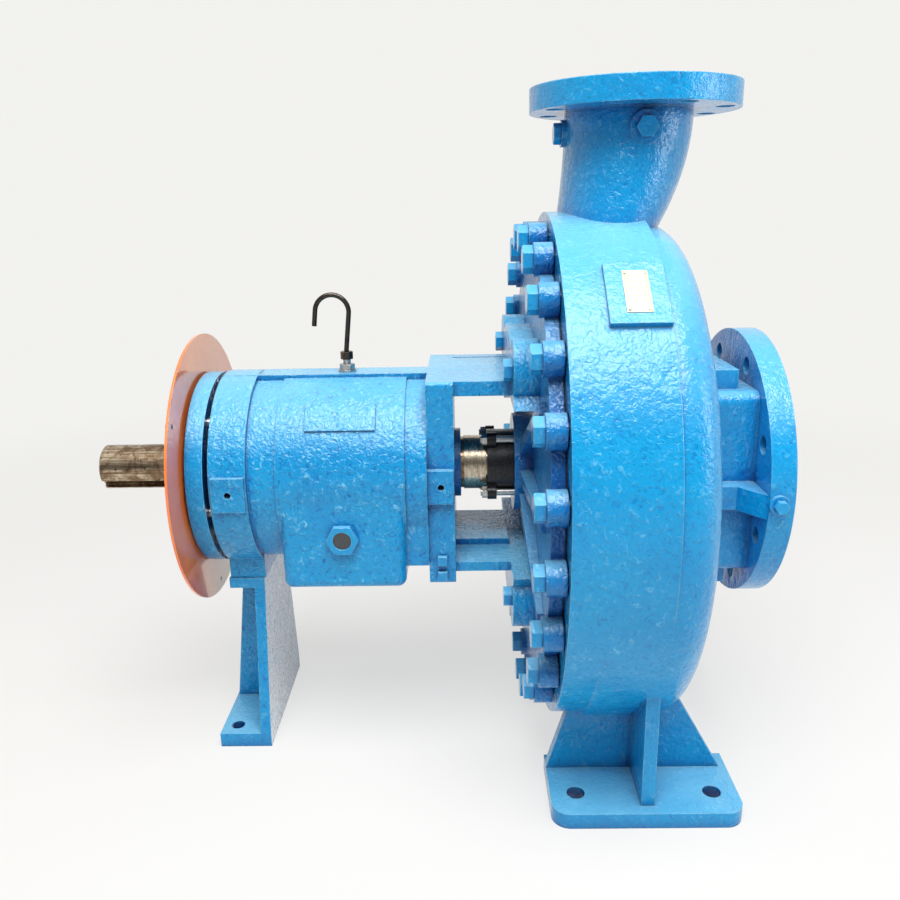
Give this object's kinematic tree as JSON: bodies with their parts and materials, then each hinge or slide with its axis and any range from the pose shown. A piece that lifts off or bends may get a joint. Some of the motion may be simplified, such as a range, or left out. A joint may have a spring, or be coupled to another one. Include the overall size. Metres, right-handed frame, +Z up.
{
  "type": "slurry pump",
  "caption": "Foot-mounted horizontal end-suction slurry pump: volute casing, bolted seal chamber cover, bearing frame, sliding bearing housing, guard plate and keyed shaft.",
  "frame": {"origin": "centre of the suction flange's face, on the shaft axis", "axes": "+X out of the suction along the shaft axis, +Z up towards the discharge flange, +Y to the pump's left when looking out of the suction"},
  "size_m": [0.877, 0.678, 0.845],
  "materials": {
    "blue_enamel": "thick gloss enamel over rough cast iron",
    "orange_enamel": "thin gloss orange enamel",
    "bare_cast_iron": "bare cast iron",
    "dark_iron": "dark oiled iron",
    "gasket_sheet": "matt sheet",
    "plate_metal": "blank cream-toned metal plate",
    "sight_lens": "dark oil behind a clear glass",
    "zinc_steel": "zinc plated",
    "breather_finish": "blackened steel tube",
    "bearing_steel": "ground bearing steel",
    "shaft_steel": "polished shaft with bronze-toned film",
    "collar_bronze": "machined bronze-toned metal"
  },
  "bodies": {
    "pump_body": {"volute_casing": "blue_enamel", "suction_sideplate": "bare_cast_iron", "casing_gasket": "gasket_sheet", "seal_chamber_cover": "blue_enamel", "cover_bolts": "blue_enamel", "adapter_bolts": "blue_enamel", "bearing_frame": "blue_enamel", "frame_foot": "blue_enamel", "foot_bolts": "blue_enamel", "frame_plugs": "blue_enamel", "discharge_front_plug": "blue_enamel", "discharge_side_plug": "blue_enamel", "suction_gauge_plug": "blue_enamel", "nameplate": "plate_metal", "sight_glass_body": "blue_enamel", "sight_glass_lens": "sight_lens", "breather_washer": "zinc_steel", "breather_fitting": "zinc_steel", "breather_nut": "zinc_steel", "breather_tube": "breather_finish", "inboard_labyrinth": "dark_iron", "inboard_bearing_outer": "bearing_steel", "inboard_rollers": "bearing_steel", "clamp_screws": "zinc_steel", "seal_gland": "dark_iron", "gland_studs": "zinc_steel", "gland_nuts": "zinc_steel"},
    "bearing_housing": {"bearing_housing": "blue_enamel", "outboard_end_cover": "blue_enamel", "outboard_bearing_outer": "bearing_steel", "outboard_rollers": "bearing_steel", "guard_plate": "orange_enamel", "guard_rim_screws": "zinc_steel", "guard_screws": "zinc_steel", "adjusting_screws": "zinc_steel"},
    "rotor": {"shaft": "shaft_steel", "inboard_bearing_inner": "bearing_steel", "outboard_bearing_inner": "bearing_steel", "bearing_locknut": "bearing_steel", "seal_sleeve": "collar_bronze", "seal_collar": "collar_bronze", "collar_screws": "zinc_steel", "impeller": "bare_cast_iron", "impeller_nut": "bearing_steel"}
  },
  "joints": [
    {"name": "housing_slide", "type": "slide", "parent": "pump_body", "child": "bearing_housing", "axis": [1, 0, 0], "range_m": [-0.0015, 0.0008]},
    {"name": "rotor_spin", "type": "hinge", "parent": "bearing_housing", "child": "rotor", "pos_m": [-0.6, 0, 0], "axis": [1, 0, 0], "continuous": true}
  ]
}
